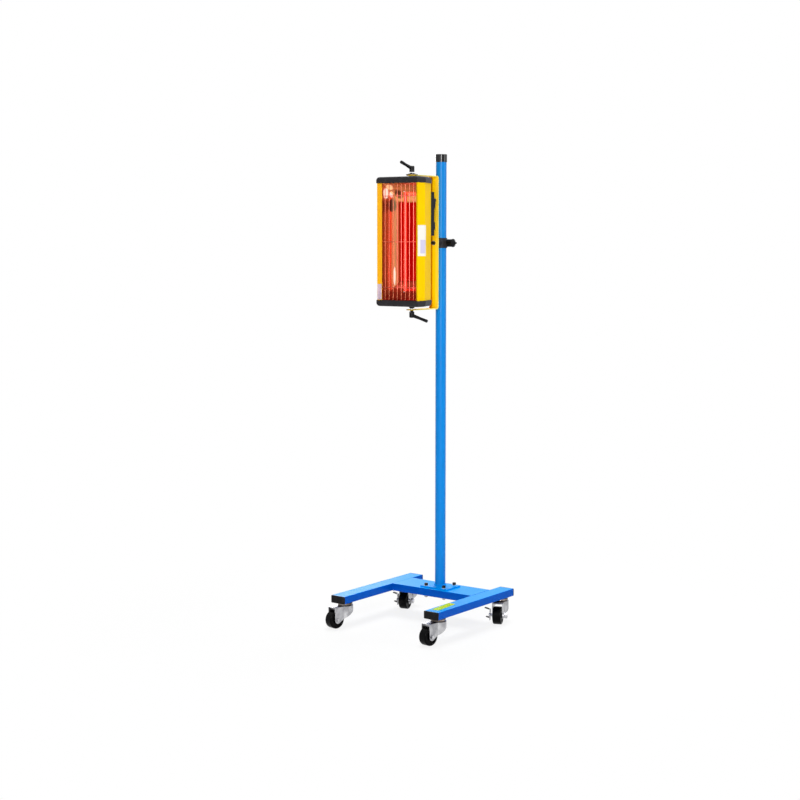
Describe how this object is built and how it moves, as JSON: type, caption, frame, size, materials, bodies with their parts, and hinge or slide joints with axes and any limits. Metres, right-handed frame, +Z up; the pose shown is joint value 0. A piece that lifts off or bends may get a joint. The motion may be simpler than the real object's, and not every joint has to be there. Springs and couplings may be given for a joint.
{
  "type": "infrared paint dryer",
  "caption": "Infrared paint dryer: a quartz heater lamp in a tilting yoke, clamped to a tall round column that stands on a rolling H-shaped base.",
  "frame": {"origin": "on the floor below the column's axis, at the height of the wheels' lowest points", "axes": "+Z up along the column, -Y the way the lamp faces and the long ends of the rails point, +X to the side of the clamping knob"},
  "size_m": [0.4954, 0.5136, 1.672],
  "materials": {
    "blue_paint": "gloss enamel",
    "yellow_paint": "powder coat",
    "black_plastic": "moulded, satin",
    "nylon": "moulded",
    "black_steel": "black oxide",
    "zinc": "bright zinc plating",
    "wheel_rubber": "satin",
    "mirror": "polished",
    "quartz": "clear",
    "filament": "drawn wire",
    "ceramic": "unglazed",
    "chrome": "polished"
  },
  "bodies": {
    "stand": {"rail_left": "blue_paint", "rail_right": "blue_paint", "cross_tube": "blue_paint", "rail_end_caps": "black_plastic", "column_flange": "blue_paint", "column": "blue_paint", "column_sleeve": "black_plastic", "flange_bolts": "black_steel", "flange_washers": "zinc", "flange_nuts": "zinc", "caster_races": "black_steel", "caster_nuts": "zinc"},
    "caster_front_left": {"fork_front_left": "zinc", "axle_front_left": "zinc"},
    "wheel_front_left": {"wheel_front_left": "wheel_rubber"},
    "caster_front_right": {"fork_front_right": "zinc", "axle_front_right": "zinc"},
    "wheel_front_right": {"wheel_front_right": "wheel_rubber"},
    "caster_rear_left": {"fork_rear_left": "zinc", "axle_rear_left": "zinc"},
    "wheel_rear_left": {"wheel_rear_left": "wheel_rubber"},
    "brake_rear_left": {"brake_rear_left": "zinc"},
    "caster_rear_right": {"fork_rear_right": "zinc", "axle_rear_right": "zinc"},
    "wheel_rear_right": {"wheel_rear_right": "wheel_rubber"},
    "brake_rear_right": {"brake_rear_right": "zinc"},
    "slider": {"clamp_liner": "nylon"},
    "head": {"clamp_collar": "black_steel", "roll_bolt": "black_steel", "roll_washers": "zinc"},
    "clamp_knob": {"clamp_knob": "black_plastic", "clamp_screw": "zinc"},
    "yoke": {"yoke": "yellow_paint", "cup_washer": "black_steel"},
    "top_lever": {"top_lever": "black_plastic", "top_stud": "zinc"},
    "bottom_lever": {"bottom_lever": "black_plastic", "bottom_stud": "zinc"},
    "lamp": {"lamp_housing": "yellow_paint", "end_plates": "yellow_paint", "top_cap": "black_plastic", "bottom_cap": "black_plastic", "cap_screws": "zinc", "top_spacer": "black_plastic", "bottom_spacer": "black_plastic", "pivot_bush": "zinc", "reflector": "mirror", "end_mirrors": "mirror", "quartz_tube": "quartz", "filament": "filament", "tube_ends": "ceramic", "tube_holders": "ceramic", "grille": "chrome", "control_box": "black_plastic", "box_screws": "zinc", "rocker_frame": "black_plastic", "cable_gland": "black_plastic"},
    "rocker": {"rocker": "black_plastic"},
    "timer_dial": {"timer_dial": "black_plastic"}
  },
  "joints": [
    {"name": "swivel_front_left", "type": "hinge", "parent": "stand", "child": "caster_front_left", "pos_m": [-0.2025, -0.301, 0.0885], "axis": [0, 0, 1], "continuous": true},
    {"name": "spin_front_left", "type": "hinge", "parent": "caster_front_left", "child": "wheel_front_left", "pos_m": [-0.21248, -0.34795, 0.03175], "axis": [0.9781, -0.2079, 0], "continuous": true},
    {"name": "swivel_front_right", "type": "hinge", "parent": "stand", "child": "caster_front_right", "pos_m": [0.2025, -0.301, 0.0885], "axis": [0, 0, 1], "continuous": true},
    {"name": "spin_front_right", "type": "hinge", "parent": "caster_front_right", "child": "wheel_front_right", "pos_m": [0.19582, -0.34853, 0.03175], "axis": [0.9903, -0.1392, 0], "continuous": true},
    {"name": "swivel_rear_left", "type": "hinge", "parent": "stand", "child": "caster_rear_left", "pos_m": [-0.2025, 0.091, 0.0885], "axis": [0, 0, 1], "continuous": true},
    {"name": "spin_rear_left", "type": "hinge", "parent": "caster_rear_left", "child": "wheel_rear_left", "pos_m": [-0.19089, 0.04443, 0.03175], "axis": [0.9703, 0.2419, 0], "continuous": true},
    {"name": "brake_rear_left", "type": "hinge", "parent": "caster_rear_left", "child": "brake_rear_left", "pos_m": [-0.19089, 0.04443, 0.03175], "axis": [0.9703, 0.2419, 0], "range_deg": [0, 15]},
    {"name": "swivel_rear_right", "type": "hinge", "parent": "stand", "child": "caster_rear_right", "pos_m": [0.2025, 0.091, 0.0885], "axis": [0, 0, 1], "continuous": true},
    {"name": "spin_rear_right", "type": "hinge", "parent": "caster_rear_right", "child": "wheel_rear_right", "pos_m": [0.22048, 0.0465, 0.03175], "axis": [0.9272, 0.3746, 0], "continuous": true},
    {"name": "brake_rear_right", "type": "hinge", "parent": "caster_rear_right", "child": "brake_rear_right", "pos_m": [0.22048, 0.0465, 0.03175], "axis": [0.9272, 0.3746, 0], "range_deg": [0, 15]},
    {"name": "column_slide", "type": "slide", "parent": "stand", "child": "slider", "axis": [0, 0, 1], "range_m": [-0.9, 0.25]},
    {"name": "column_swivel", "type": "hinge", "parent": "slider", "child": "head", "pos_m": [0, 0, 1.3595], "axis": [0, 0, 1], "continuous": true},
    {"name": "clamp_knob", "type": "hinge", "parent": "head", "child": "clamp_knob", "pos_m": [0.031, 0, 1.3595], "axis": [1, 0, 0], "range_deg": [0, 360]},
    {"name": "yoke_roll", "type": "hinge", "parent": "head", "child": "yoke", "pos_m": [0, -0.0448, 1.3595], "axis": [0, 1, 0], "range_deg": [-90, 90]},
    {"name": "lamp_turn", "type": "hinge", "parent": "yoke", "child": "lamp", "pos_m": [0, -0.1765, 1.3637], "axis": [0, 0, 1], "range_deg": [-110, 110]},
    {"name": "top_lever", "type": "hinge", "parent": "yoke", "child": "top_lever", "pos_m": [0, -0.1765, 1.5912], "axis": [0, 0, 1], "range_deg": [0, 180]},
    {"name": "bottom_lever", "type": "hinge", "parent": "yoke", "child": "bottom_lever", "pos_m": [0, -0.1765, 1.1297], "axis": [0, 0, 1], "range_deg": [-180, 0]},
    {"name": "rocker", "type": "hinge", "parent": "lamp", "child": "rocker", "pos_m": [0.03, -0.1075, 1.4937], "axis": [1, 0, 0], "range_deg": [0, 24]},
    {"name": "timer_dial", "type": "hinge", "parent": "lamp", "child": "timer_dial", "pos_m": [0.03, -0.1125, 1.4187], "axis": [0, 1, 0], "range_deg": [-300, 0]}
  ]
}
